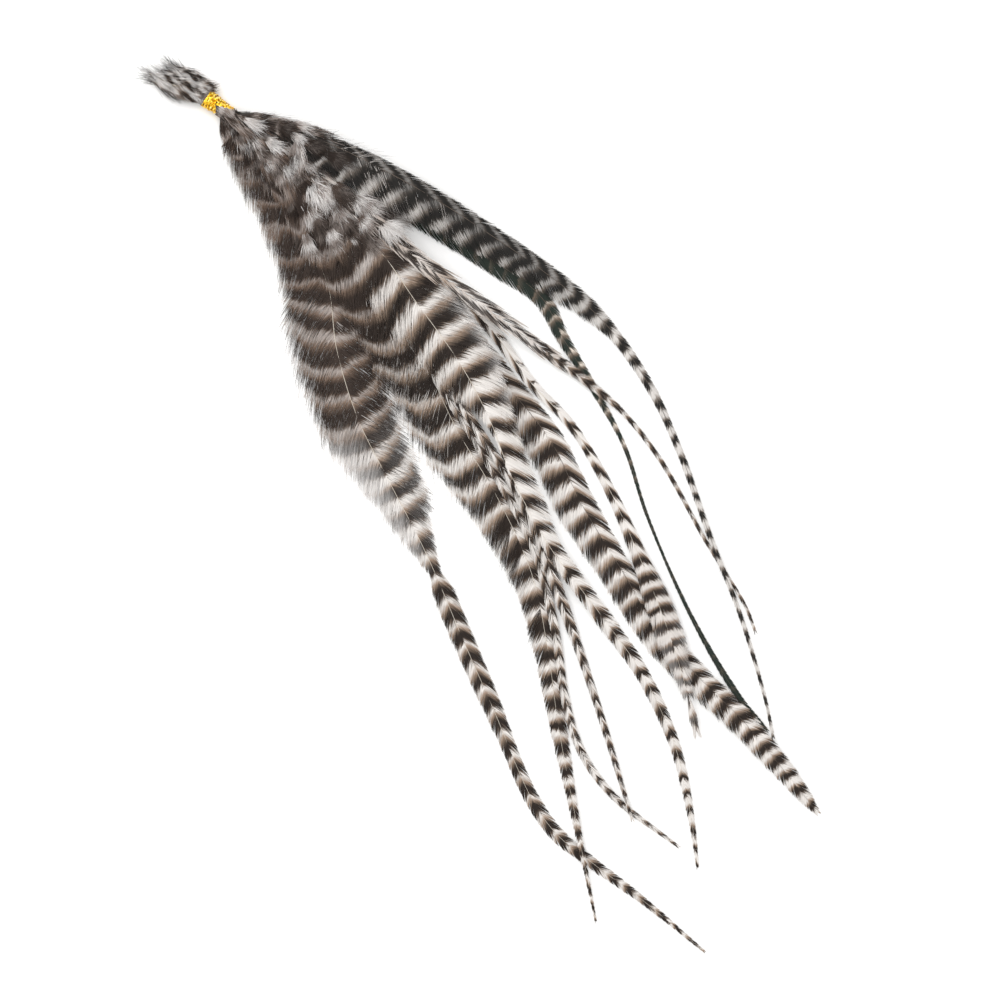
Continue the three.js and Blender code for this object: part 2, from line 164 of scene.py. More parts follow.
# Each feather in laying order. Distances run along the shaft from the tie's middle. A route point is x and
# y from there. A vane stop's value is the reach off the shaft, with left and right as seen from above with
# the tie at the upper left. A bar mark is the distance of a dark bar and its number. The column is the
# quill's place in the tie, and the butt how far it goes on beyond the tie's middle.
FEATHERS = [
    {
        "name": "black", "column": 1, "butt": 17, "slot": "black_feather", "profile": "black",
        "route": [(18, -8.5), (31, -14), (56, -30), (76, -42.5), (90, -53), (96.5, -65), (105, -79),
                  (113.5, -95), (119.5, -113.5), (128.5, -135), (137, -151.5), (146.5, -166.5),
                  (153.5, -174.5)],
        "vane": [(18, 1), (34, 3), (64, 3.5, 4), (94, 3.5, 4), (106, 2.5, 2.2), (125, 1.4), (150, 0.6),
                 (185, 0.3, 0.4), (205, 0.5, 0.6), (226, 0.9), (238, 0.7), (243, 0.3)],
        "bars": [(104.8, 0), (164.6, 12)],
        "chevron": [(0, 0.6, 0.8)], "dull": [(0, 0.3), (100, 0.2, 0)],
        "dark": [(0, 1.6), (95, 1.4), (108, 0.72, 0.6), (155, 0.62, 0.55), (168, 1.7)], "spacing": 0.15,
        "barb_width": 0.24, "lean": 0.8,
    },
    {
        **BROAD, "name": "left_long", "column": -1, "butt": 21,
        "route": [(16, -20), (24, -36), (30.5, -50), (33, -68), (39, -87.5), (47.5, -104.5), (58, -125),
                  (68.5, -149.5), (77, -169), (87.5, -193.5), (94.5, -203.5), (105, -212), (118.5, -222),
                  (136, -236.5)],
        "vane": [(10, 7.5, 2), (15, 9.5, 3.5), (24, 9, 6), (45, 9.5, 11), (55, 11.5, 12), (67, 12.3),
                 (84, 10.7, 12.3), (104, 9.2, 9), (124, 5.6, 7.6), (134, 4), (146, 1.4), (152, 3),
                 (180, 2.8), (200, 2), (226, 2), (242, 1.5), (260, 0.9), (280, 0.3)],
        "bars": [(61.5, 0), (104.6, 5), (144.6, 10), (172.1, 14), (211.7, 20), (247.2, 26), (275.3, 31)],
        "chevron": [(0, -0.15, -0.3), (105, -0.2, -0.4), (122, 0), (142, 0.5, 0.8), (160, 0.9, 1.3)],
        "haze": [(0, 0.9), (60, 0.75), (98, 0.6, 0.5), (112, 0)], "hook": (7, -0.6),
        "dark": [(0, 0.62), (95, 0.62), (112, 0.42, 0.5), (130, 0.42, 0.46), (160, 0.57)],
        "fade": [(98, 0), (108, 0.75, 0.15), (134, 0.7, 0.1), (146, 0)], "fade_power": 0.8,
        "stray": [(12, 22, 80, -1, 2.2, 0.4), (40, 96, 90, -1, 3.6, 1.0), (78, 125, 110, 1, 4.0, 0.7),
                  (104, 140, 60, -1, 2.2, 0.3)],
        "soft_until": 140, "flank_down": THICK_FLANK,
    },
    {
        "name": "broad_right", "column": 0, "butt": 19,
        "route": [(18, -14.5), (32, -28), (64.5, -61), (80, -79.5), (92, -95), (100, -111.5),
                  (111.5, -130.5), (122.5, -148.5), (134, -160.5), (146.5, -172), (158, -185.5),
                  (167.5, -197.5)],
        "vane": [(16, 1), (32, 4), (60, 6), (98, 7.4, 3.6), (124, 7.2, 3.6), (150, 7.2, 3.8),
                 (173, 6.1, 2.9), (200, 5.2, 3.2), (228, 4.1, 3.2), (246, 2.8), (256, 1.8), (262, 0.5)],
        "bars": [(118.2, 0), (149.2, 4), (178.1, 8), (203.6, 12), (232, 17), (258, 22)],
        "chevron": [(0, 0.3, 1.0), (100, 0.2, 2.1), (190, 0.2, 1.7), (215, 0.2, 0.9), (240, 0.15, 0.3)],
        "shift": [(70, 0), (98, 1.5), (190, 1.5), (235, 0)], "dark": [(0, 0.5), (120, 0.48)],
        "soft_until": 60, "spacing": 0.12, "barb_width": 0.22, "lean": 0.9,
    },
    {
        **BROAD, "name": "centre", "column": -1.5, "butt": 20,
        "route": [(21, -22), (45, -54), (58.5, -74), (67, -91), (77.5, -108.5), (87.5, -130.5),
                  (92, -151.5), (95, -173), (100, -200), (105.5, -228)],
        "vane": [(15, 1.5), (26, 5), (50, 9, 7), (87, 11, 5), (105, 11.4, 4.6), (120, 10.2, 4.2),
                 (134, 9, 3.5), (151, 6.7, 3.5), (166, 5, 3.5), (187, 3.3), (207, 2.1), (222, 1.3),
                 (239, 0.7), (257, 0.3)],
        "bars": [(87.2, 0), (107.4, 2), (125.7, 4), (143, 6), (181.3, 11), (208, 15), (231.7, 19),
                 (252.4, 23)],
        "chevron": [(0, -0.3, 0.1), (80, -0.15, 0.1), (120, 0, 0.1), (136, 0.6, 0.3), (170, 0.3),
                    (215, 0.2), (240, 0.6)],
        "haze": [(0, 0.9), (45, 0.75), (66, 0.6), (86, 0.2), (100, 0)], "hook": (7.5, -1.2),
        "dark": [(0, 0.6), (110, 0.6), (150, 0.5)],
        "stray": [(70, 118, 110, -1, 2.4, 0.5), (146, 149, 60, -1, 1.7, 1.0),
                  (153, 156, 50, -1, 1.5, 1.0), (172, 175, 40, -1, 1.2, 1.0)],
        "soft_until": 120, "flank_down": THIN_FLANK,
    },
    {
        **SLIM, "name": "narrow", "column": -0.5, "butt": 14,
        "route": [(19, -18), (38, -42), (78.5, -104.5), (88.5, -124.5), (94, -146), (97, -166),
                  (101.5, -180.5), (110, -192.5), (128.5, -207)],
        "vane": [(18, 0.8), (40, 1.4), (131, 1.3), (200, 1.2), (218, 1.1), (231, 0.9), (249, 0.4)],
        "bars": [(142.9, 0), (170, 4), (182.8, 6), (210.7, 12), (243.7, 19)],
        "chevron": [(0, 1.8)], "dark": [(0, 0.5), (180, 0.38)],
    },
    {
        **SLIM, "name": "middle", "column": 0.5, "butt": 16,
        "route": [(20, -17), (40, -42), (73.5, -92), (83, -107), (90, -122), (94.5, -134.5),
                  (101, -152.5), (108, -174), (115.5, -199)],
        "vane": [(18, 0.8), (40, 1.6), (131, 1.3), (158, 1.8), (172, 1.7), (186, 1.2), (220, 0.8),
                 (234, 0.4)],
        "bars": [(107.2, 0), (149, 6), (170.8, 10), (198.8, 15), (230.9, 22)],
        "chevron": [(0, 1.8, 2.0)], "dark": [(0, 0.4, 0.7), (150, 0.4, 0.7), (170, 0.45, 0.5)],
    },
    {
        "name": "slashed", "column": 1.5, "butt": 15,
        "route": [(34, -23), (62, -49), (75.5, -61.5), (88, -78), (98.5, -89), (108, -104.5),
                  (117.5, -125.5), (126.5, -149), (131, -164), (133.5, -174.5)],
        "vane": [(18, 0.8), (40, 1.8), (102, 1.6), (140, 1.2), (161, 1.6), (175, 2.2), (189, 3.8),
                 (200, 3.9), (204, 3.3), (208, 2.5), (212, 1.5), (215.5, 0.6), (217.5, 0.2), (220, 0.9),
                 (223.5, 1.2), (226.5, 0.6), (227.5, 0.2)],
        "bars": [(101.9, 0), (125.8, 3), (148.6, 6), (176.2, 10), (196.2, 14), (200.8, 15), (206.5, 16),
                 (212.3, 17), (216.8, 18), (223.8, 19)],
        "chevron": [(0, 3.0, 1.0), (125, 3.0, 1.0), (134, 0.5, 2.8), (163, 0.4, 2.4), (175, 0.25, 0.2)],
        "haze": [(0, 0.9), (38, 0.7), (56, 0), (168, 0), (186, 0.15)],
        "dark": [(0, 0.4, 0.1), (125, 0.4, 0.1), (134, 0.42), (220, 0.42)],
        "fade": [(194, 0), (201, 0.12, 0.1), (206, 0.22, 0.14), (214, 0.45, 0.2), (219, 0.2, 0.1)],
        "fade_power": 0.6, "spacing": 0.16, "barb_width": 0.2, "lean": 0.6, "shaft": "pale",
    },
    {
        **BROAD, "name": "front", "column": -1, "butt": 21,
        "route": [(23, -20), (45, -40.5), (55, -54.5), (67.5, -72), (75.5, -87), (82, -103.5),
                  (92.5, -123), (107.5, -143), (119, -159.5), (128, -180), (132.5, -201), (134, -213)],
        "vane": [(15, 1.5), (26, 5), (50, 9, 6), (68, 9.6, 7.2), (80, 10, 9.6), (104, 7, 9.3),
                 (115, 2.2, 7), (123, 0.5, 6), (144, 0.6, 5.2), (158, 2.0, 3), (182, 2.3), (212, 1.7),
                 (235, 1.2), (248, 0.7), (258, 0.3)],
        "bars": [(65.1, 0), (85.8, 2), (103.7, 4), (135.6, 8), (166.2, 12), (199.8, 17), (231, 22),
                 (251.2, 26)],
        "chevron": [(0, 0.3, 0), (98, 0.4, 0.05), (114, 0.6, 0.7), (126, 1.0, 1.05), (160, 1.2, 1.05),
                    (190, 1.2, 0.8)],
        "dark": [(0, 0.53, 0.51), (96, 0.5, 0.48), (110, 0.42), (118, 0.32, 0.4), (158, 0.34, 0.38),
                 (170, 0.4)],
        "haze": [(0, 0.9), (48, 0.7), (62, 0.45), (74, 0)],
        "fade": [(76, 0), (82, 0, 0.8), (108, 0, 0.9), (118, 0)], "fade_power": 7, "soft_until": 90,
        "flank_down": THIN_FLANK,
    },
    {
        "name": "sparse", "column": 0, "butt": 15,
        "route": [(31, -23), (55, -42.5), (81.5, -61.5), (101, -75.5), (113, -85.5), (124, -99.5),
                  (136, -121), (147.5, -140), (150, -146.5)],
        "vane": [(18, 1), (40, 2.4), (60, 2.7), (96, 2.5), (112, 2.0), (127, 1.3), (142, 0.7),
                 (214, 0.4)],
        "bars": [(81.9, 0), (108.5, 5), (160.2, 15), (209.2, 25)],
        "chevron": [(0, 1.8, 1.4)], "dark": [(0, 0.55, 0.6)], "bundles": (14, 118, 3.2), "scatter": 0.07,
        "ragged": 0.4, "soft_until": 20, "spacing": 0.2, "barb_width": 0.16, "lean": 0.6,
    },
    {
        "name": "outer_arc", "column": 1, "butt": 18,
        "route": [(22, -8), (33, -12), (53, -22), (71.5, -33), (92, -47), (107.5, -60), (120.5, -78),
                  (129, -96.5), (137.5, -120.5), (146, -142.5), (153, -166.5), (155, -176.5)],
        "vane": [(11, 2, 1.6), (15, 4, 2), (24, 6, 2.2), (50, 9.5, 2.6), (79, 6.8, 2.6), (98, 5, 2.6),
                 (111, 4.4, 2.6), (120, 3.2, 2.2), (129, 1.7, 1.5), (160, 1), (183, 0.8), (252, 0.4)],
        "bars": [(21.3, 0), (44.8, 3), (82.8, 8), (120.1, 14), (158, 20), (197.1, 27), (245.8, 35)],
        "chevron": [(0, -1.7, -3.2), (92, -1.5, -3.0), (112, -0.8, -1), (125, 0.3)],
        "dull": [(0, 0.85), (50, 0.85, 0.75), (96, 0.85, 0.8), (112, 0.5, 0.6), (128, 0.12, 0.15)],
        "dark": [(0, 0.5), (105, 0.48), (120, 0.4)], "profile": "lined",
        "haze": [(0, 0.7, 0.5), (22, 0.3, 0.1), (34, 0)], "hook": (3.0, 1.1),
        "stray": [(10, 48, 80, 1, 2.4, 0.5), (44, 76, 40, -1, 1.8, 0.6)], "bar_base": 3.5,
        "soft_until": 38, "spacing": 0.115, "barb_width": 0.22, "lean": 0.9,
    },
]

# Colours: a barb's pale and tan parts and its dark bar, and where they lie across one bar
PALE = (0.68, 0.65, 0.625)
BAR_STOPS = (0.05, 0.13, 0.24, 0.34, 0.45, 0.72, 0.8, 0.92)
LINED_STOPS = (0.04, 0.13, 0.22, 0.31, 0.42, 0.7, 0.8, 0.95)
BARB_LOOKS = {
    "barred": (PALE, (0.30, 0.22, 0.165), (0.024, 0.018, 0.015), BAR_STOPS),
    "lined": (PALE, (0.25, 0.21, 0.18), (0.017, 0.016, 0.015), LINED_STOPS),
    "black": ((0.62, 0.55, 0.48), (0.17, 0.13, 0.10), (0.022, 0.029, 0.024), BAR_STOPS),
}
SHAFT_LOOKS = {
    "pale": ((0.78, 0.74, 0.66), (0.45, 0.38, 0.30)),
    "dark": ((0.06, 0.045, 0.035), (0.12, 0.09, 0.07)),
}
# The tinsel's colour along its crinkle: a dark orange painted shade at the low end, gold in the middle and a
# pale yellow painted highlight at the high end
TINSEL_SHADE_AND_HIGHLIGHT_COLOURS = [(0.32, (0.30, 0.12, 0.005)), (0.45, (0.80, 0.42, 0.02)), (0.56, (1.0, 0.70, 0.06)),
                  (0.68, (1.0, 0.92, 0.40))]
# The down's painted shade: a grey-lilac filter that dims its pale in place of self-shadow and the darker
# layers seen through it; then the brown that blurs its bars, and the pale of the light tufts
PAINTED_SHADE_FILTER = (0.66, 0.58, 0.55)
HAZE_COLOUR = (0.09, 0.066, 0.055)
PUFF_COLOUR = (0.70, 0.68, 0.67)

# The studio, in metres but for the camera's sensor, which is in millimetres
CAMERA_HEIGHT = 0.9
FIELD = 0.28
SENSOR = 36.0
VIEW_CENTRE = (0.00426, 0.00236)
FLOOR_HALF = 1.5
FLOOR_DROP = 0.0003


# The line of each shaft

def catmull_rom(points, steps=30):
    """Points along the centripetal Catmull-Rom curve through the given ones."""
    knots = np.array(points, float)
    knots = np.vstack([2 * knots[0] - knots[1], knots, 2 * knots[-1] - knots[-2]])
    u = np.linspace(0, 1, steps, endpoint=False)[:, None]
    spans = []
    for i in range(1, len(knots) - 2):
        a, b, c, d = knots[i - 1:i + 3]
        gaps = [max(np.linalg.norm(q - p) ** 0.5, 1e-4) for p, q in ((a, b), (b, c), (c, d))]
        into = ((b - a) / gaps[0] - (c - a) / (gaps[0] + gaps[1]) + (c - b) / gaps[1]) * gaps[1]
        out = ((c - b) / gaps[1] - (d - b) / (gaps[1] + gaps[2]) + (d - c) / gaps[2]) * gaps[1]
        cubic = 2 * b - 2 * c + into + out
        square = -3 * b + 3 * c - 2 * into - out
        spans.append(b + into * u + square * u ** 2 + cubic * u ** 3)
    spans.append(knots[-2][None])
    return np.vstack(spans)


def turned(vector, angle):
    """A plane vector turned anticlockwise."""
    c, s = math.cos(angle), math.sin(angle)
    return np.array([vector[0] * c - vector[1] * s, vector[0] * s + vector[1] * c])


def stop_value(stops, side, distance):
    """What a list of stops says at a distance, for the left side (below 0) or the right one."""
    own = 1 if side < 0 else -1
    return np.interp(distance, [stop[0] for stop in stops], [stop[own] for stop in stops])


class Course:
    """The line of one shaft over the ground, with the height at which its CAD solid lies."""

    def __init__(self, feather, middle):
        column, butt = feather["column"], feather["butt"]
        in_tie = [TIE_HEADING * along + TIE_ACROSS * column * QUILL_PITCH
                  for along in (-QUILL_CLEAR, 0, QUILL_CLEAR, QUILL_RELEASE)]
        butt_end = in_tie[0] - turned(TIE_HEADING, -column * BUTT_FAN) * (butt - QUILL_CLEAR)
        points = catmull_rom([butt_end] + in_tie + feather["route"])
        steps = np.hypot(*np.diff(points, axis=0).T)
        run = np.concatenate([[0], np.cumsum(steps)]) - butt
        self.start, self.end = -butt, run[-1]
        self.at = np.arange(self.start, self.end, COURSE_STEP)
        flat = np.stack([np.interp(self.at, run, points[:, k]) for k in (0, 1)], 1) + middle[:2]
        self.shift = feather["shift"]
        self.height = self.heights(feather["name"] + "_feather", flat)
        self.extend(flat)

    def heights(self, node, flat):
        """The underside of the node's solid along the line, evened out over a few millimetres."""
        tree = BVHTree.FromObject(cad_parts[node], bpy.context.evaluated_depsgraph_get())
        found = np.full(len(flat), np.nan)
        for i, (x, y) in enumerate(flat):
            hit = tree.ray_cast(Vector((x * MM, y * MM, -1)), Vector((0, 0, 1)))
            if hit[0] is not None:
                found[i] = hit[0].z / MM
        known = ~np.isnan(found)
        found = np.interp(self.at, self.at[known], found[known])
        return np.convolve(np.pad(found, 2, mode="edge"), np.full(5, 0.2), mode="valid")

    def extend(self, flat):
        """Carries the line straight on past both ends, so that barbs may reach beyond them."""
        spare = COURSE_SPARE
        first = flat[0] - (flat[1] - flat[0]) / COURSE_STEP * spare
        last = flat[-1] + (flat[-1] - flat[-2]) / COURSE_STEP * spare
        self.at = np.concatenate([[self.at[0] - spare], self.at, [self.at[-1] + spare]])
        self.flat = np.vstack([first, flat, last])
        self.height = np.concatenate([[self.height[0]], self.height, [self.height[-1]]])
        along = np.gradient(self.flat, self.at, axis=0)
        along /= np.linalg.norm(along, axis=1)[:, None]
        self.side = np.stack([-along[:, 1], along[:, 0]], 1)

    def read(self, distance, table):
        """Both columns of a table kept along the line, at a distance."""
        return [np.interp(distance, self.at, table[:, k]) for k in (0, 1)]

    def place(self, distance, off, lift):
        """Points at a distance along the shaft, off it to the right, and above the solid's underside.

        Left and right are as seen from above with the tie at the upper left.
        """
        flat = self.read(distance, self.flat)
        side = self.read(distance, self.side)
        off = off + stop_value(self.shift, 1, distance)
        height = np.interp(distance, self.at, self.height) + lift
        return np.stack([flat[0] + side[0] * off, flat[1] + side[1] * off, height], -1)


# The barbs and the down, as thin ribbons in arrays of one row per strand

class Draws:
    """Seeded chance for a number of strands, in columns of one draw for each."""

    def __init__(self, rng, count):
        self.rng = rng
        self.shape = (count, 1)

    def even(self, low=0.0, high=1.0):
        """Anything between two values."""
        return self.rng.uniform(low, high, self.shape)

    def bell(self, spread):
        """A bell curve around zero."""
        return self.rng.normal(0, spread, self.shape)

    def wave(self, t, low, high):
        """A sine along each strand, with its own start and its own number of waves."""
        return np.sin(2 * math.pi * (self.even() + t * self.even(low, high)))


class Strands:
    """Ribbons of one feather: their points and what the material reads at each point."""

    def __init__(self):
        self.batches = []

    def add(self, points, widths, roll, values):
        """Ribbons with a width at every point and a roll of their own."""
        self.batches.append((points, widths, roll, values))

    def add_hairs(self, points, draw, thick, taper, roll, values):
        """Hairs as thick as chance says at their roots, and thinner by a share and a power of the way."""
        share, power = taper
        t = np.linspace(0, 1, points.shape[1])
        self.add(points, draw.even(*thick) * (1 - share * t ** power), draw.bell(roll), values)


def plain_values(tone, **own):
    """The values of strands that have no vane of their own."""
    return {"phase": 0.0, "edge": 0.0, "tone": tone, "dark": 0.5, "haze": 0.2, "patch": 0.0, **own}


def bar_number(marks, distance):
    """How many dark bars have passed at a distance, with the first and last spacing carried on."""
    at, number = np.array(marks, float).T
    first, last = [(at[i + 1] - at[i]) / (number[i + 1] - number[i]) for i in (0, -2)]
    at = [at[0] - BARS_SPARE * first, *at, at[-1] + BARS_SPARE * last]
    number = [number[0] - BARS_SPARE, *number, number[-1] + BARS_SPARE]
    return np.interp(distance, at, number)


def ripple(x, y, pitch, seed):
    """A smooth uneven field between about -1 and 1, with features of about the pitch."""
    total = np.zeros_like(x)
    turns = np.random.default_rng(seed)
    for _ in range(5):
        heading, start = turns.uniform(0, 2 * math.pi, 2)
        wave = 2 * math.pi / (pitch * turns.uniform(1.4, 3.0))
        total = total + np.sin(wave * (x * math.cos(heading) + y * math.sin(heading)) + start)
    return total / 2.5


def softness(feather, distance):
    """1 in the downy part near the tie, falling to 0 where the vane turns crisp."""
    until = feather["soft_until"]
    return np.clip((until * 1.15 - distance) / (until * 0.55), 0, 1)


def lean_angle(reach, soft):
    """The angle between a barb's root and the shaft: barbs of a slim vane lie close along it."""
    steep = STEEP_LEAN - SLIM_LEAN * np.exp(-reach / 6)
    return steep * (1 - 0.12 * soft)


def running_sum(steps):
    """How far each strand has come at each point, going by the mean of neighbouring steps."""
    means = (steps[:, 1:] + steps[:, :-1]) / 2
    return np.hstack([np.zeros((len(steps), 1)), np.cumsum(means, axis=1)])


def barb_paths(roots, reach, lean, curl, segments):
    """Distance along the shaft and reach off it for every point of every barb, and the way along it."""
    t = np.linspace(0, 1, segments + 1)
    angle = lean * (1 - curl * t)
    ahead = running_sum(np.cos(angle))
    out = running_sum(np.sin(angle))
    scale = reach / out[:, -1:]
    return roots + ahead * scale, out * scale, t


def clump_pull(roots, size, rng):
    """For each root, how far ahead or behind its clump's middle lies, and which clump it is."""
    count = int((roots.max() - roots.min()) / size * 1.6) + 6
    edges = np.cumsum(rng.uniform(0.5, 1.5, count) * size) + roots.min() - size
    index = np.clip(np.searchsorted(edges, roots), 1, len(edges) - 1)
    return (edges[index] + edges[index - 1]) / 2 - roots, index


def rounded(reach, ease):
    """The reach off the shaft, eased so that a bar's point at the shaft is round."""
    return np.sqrt(reach ** 2 + ease ** 2) - ease


def side_roots(feather, course, rng, fine):
    """Where one side's barbs leave the shaft."""
    spacing = feather["spacing"] * (FINE_SPACING if fine else 1.0)
    first = max(feather["vane"][0][0] - 12, VANE_START)
    roots = np.arange(first, course.end - 0.4, spacing)
    roots = roots + rng.uniform(-0.5, 0.5, len(roots)) * spacing
    if fine:
        roots = roots[roots < feather["soft_until"] * 1.2 + 20]
    if feather["bundles"]:
        roots = roots[roots > feather["bundles"][1] - 4]
    return roots[:, None]


def side_reach(feather, sign, roots, soft):
    """Each barb's reach and lean, found in rounds so that its tip lies on the vane's outline."""
    reach = stop_value(feather["vane"], sign, roots)
    for _ in range(4):
        lean = lean_angle(reach, soft) * feather["lean"]
        ahead = reach / np.tan(lean * 0.8)
        reach = stop_value(feather["vane"], sign, roots + ahead)
    return reach, lean


def side_phase(feather, sign, roots, reach, s, v):
    """How many bars have passed at each point, with the bars' slant, round points and hooked ends."""
    base = np.minimum(feather["bar_base"], reach / 2)
    slant = stop_value(feather["chevron"], sign, roots)
    ease = np.clip(reach * BAR_ROUND_SHARE, *BAR_ROUND)
    hook_reach, hook_slope = feather["hook"]
    hook = hook_slope * np.maximum(0, v - hook_reach)
    return bar_number(feather["bars"], s - slant * (rounded(v, ease) - rounded(base, ease)) - hook)


def vane_tone(feather, sign, s, v, t):
    """Above 0 where the bars fade to pale at the edge, below 0 where the vane is dull but for its edge."""
    dull = stop_value(feather["dull"], sign, s) * (1 - 0.6 * np.clip((v - 2.2) / 2.8, 0, 1))
    fade = stop_value(feather["fade"], sign, s) * t ** feather["fade_power"]
    return fade - dull


def add_side(strands, feather, course, sign, rng, fine):
    """One side's barbs, from the tie to the feather's tip; fine ones are the hairs that reach past them."""
    roots = side_roots(feather, course, rng, fine)
    if len(roots) == 0:
        return
    draw = Draws(rng, len(roots))
    soft = softness(feather, roots)
    reach, lean = side_reach(feather, sign, roots, soft)
    longer = 1.0 + draw.bell(0.05 + 0.07 * soft)
    if fine:
        longer = draw.even(0.9, 1.14) + 0.2 * soft * draw.even() ** 3
    reach = reach * longer
    lean = lean * (1 + draw.bell(0.04 + 0.09 * soft))
    s, v, t = barb_paths(roots, reach, lean, 0.42, 8 if reach.max() > SLIM_REACH else 5)
    pull, clump = clump_pull(roots, feather["clump"] + 1.8 * soft.mean(), rng)
    by_clump = rng.normal(0, 1, clump.max() + 1)[clump]

    phase = side_phase(feather, sign, roots, reach, s, v)
    phase = phase + (draw.bell(feather["scatter"]) + 0.03 * by_clump * soft)
    slim = np.clip(1.6 - reach / 4, 0.4, 1.2)
    phase = phase + 0.09 * slim * ripple(s, 7.0 * sign, 8.0, int(10 * course.end))
    bar = np.clip(np.floor(phase + 0.5).astype(int) + BARS_BEFORE, 0, BARS_KEPT - 1)
    uneven = 1 + 0.12 * rng.normal(0, 1, BARS_KEPT)[bar]

    hold = draw.even(*feather["hold"]) * (0.4 if fine else 1.0)
    s = s + pull * hold * t ** 1.5
    wave = draw.wave(t, 0.5, 1.3)
    wild = 0.05 + 0.4 * soft * (1.3 if fine else 0.8)
    s = s + wave * t * wild * draw.even(0.3, 1)
    v = v + by_clump * t ** 2 * (0.1 + 0.35 * soft) * np.minimum(1, reach / 4)
    lift = VANE_LIFT + draw.even(-0.12, 0.16) * t
    lift = lift + soft * (draw.even() * 0.9 + 0.25 * by_clump) * np.sin(t * 2.4)
    points = course.place(s, v * sign, lift)

    width = feather["barb_width"] * (FINE_WIDTH if fine else 1.0) * draw.even(0.75, 1.2)
    values = {
        "phase": phase,
        "edge": feather["ragged"] * (1 - 0.75 * soft) * draw.even(-0.5, 0.5),
        "tone": draw.even(),
        "dark": stop_value(feather["dark"], sign, s) * uneven,
        "haze": stop_value(feather["haze"], sign, s),
        "patch": vane_tone(feather, sign, s, v, t),
    }
    strands.add(points, width * (1 - 0.72 * t ** 1.4), draw.bell(0.25), values)


def add_bundles(strands, feather, course, sign, rng):
    """Barbs in separate pointed bundles, each with a dark fleck, so that the floor shows between."""
    start, end, pitch = feather["bundles"]
    middles = np.arange(start + (pitch / 2 if sign < 0 else 0), end, pitch)[:, None]
    bundle = Draws(rng, len(middles))
    middles = middles + bundle.bell(0.35)
    index = np.repeat(np.arange(len(middles)), BUNDLE_BARBS)
    draw = Draws(rng, len(index))
    roots = middles[index] + draw.even(-0.3, 0.3)
    far = stop_value(feather["vane"], sign, middles + 7) * bundle.even(0.65, 1.05)
    lean = BUNDLE_LEAN * (1 + bundle.bell(0.08))[index]
    s, v, t = barb_paths(roots, far[index] * draw.even(0.85, 1.1), lean, 0.75, 8)
    swell = draw.even(-0.42, 0.42) * np.sin(np.pi * t ** 0.8)
    s = s - swell * math.sin(BUNDLE_LEAN)
    v = v + swell * math.cos(BUNDLE_LEAN)
    points = course.place(s, v * sign, VANE_LIFT + draw.even(-0.1, 0.2) * t + 0.15)
    fleck = bundle.even(0.3, 0.6)[index] + draw.bell(0.05)
    length = bundle.even(0.2, 0.3)[index]
    patch = np.where(np.abs(t - fleck) > length, 0.0, -0.95)
    values = plain_values(draw.even(), phase=-0.37, haze=0.1, patch=patch)
    width = BUNDLE_BARB_WIDTH * draw.even(0.8, 1.1) * (1 - 0.75 * t ** 1.8)
    strands.add(points, width, draw.bell(0.2), values)


def add_stray(strands, feather, course, rng, start, end, count, side, beyond, dark_share):
    """Single hairs that flare out past the vane's edge between two distances."""
    draw = Draws(rng, count)
    roots = draw.even(start, end)
    edge = stop_value(feather["vane"], side, roots)
    reach = edge + beyond * draw.even(0.15, 1) ** 1.5
    lean = np.radians(draw.even(28, 52))
    s, v, t = barb_paths(roots - edge * 0.8, reach, lean, rng.uniform(-0.5, 0.3), 9)
    s = s + draw.wave(t, 0.4, 0.9) * t * 0.5
    points = course.place(s, v * side, VANE_LIFT + t * draw.even(0, 1.2))
    dark = np.where(draw.even() < dark_share, 3.0, 0.02)
    values = plain_values(draw.even(), dark=dark)
    strands.add_hairs(points, draw, (0.05, 0.1), (0.75, 1.3), 0.4, values)


def add_down(strands, feather, course, rng, span, count, run, spread, sides=(-1.0, 1.0), stop=None):
    """Silky down rooted between two distances, within a little of the vane's edge or before a stop."""
    draw = Draws(rng, count)
    roots = draw.even(*span)
    sign = rng.choice(sides, count)[:, None]
    length = draw.even(*run)
    if stop is not None:
        limit = stop + np.where(sign > 0, 1.2, 0) + draw.bell(0.9) - 1.5 * draw.even() ** 2
        length = np.clip(length, 1.5, np.maximum(limit - roots, 1.5))
    reach = draw.even(*spread) * draw.even(0.25, 1)
    if stop is None:
        edges = [stop_value(feather["vane"], side, roots + length) for side in (-1, 1)]
        reach = np.minimum(reach, np.where(sign < 0, *edges) + 0.8)
    else:
        taper = 1.0 + 0.55 * np.maximum(stop - roots - length, 0)
        reach = np.where(sign < 0, np.minimum(reach, taper), reach)
    lean = np.clip(np.arctan2(reach, length) * 1.35, 0.1, 1.3)
    s, v, t = barb_paths(roots, reach, lean, 0.5, 7)
    v = (v + draw.wave(t, 0.6, 1.4) * t * draw.even(0.1, 0.5)) * sign
    points = course.place(s, v, VANE_LIFT + np.sin(t * 2.2) * (draw.even() ** 1.5 * 1.9))
    phase = bar_number(feather["bars"], s * 0.9) + draw.bell(0.12)
    values = plain_values(draw.even(), phase=phase, haze=0.75)
    strands.add_hairs(points, draw, (0.1, 0.24), (0.7, 1.3), 0.5, values)


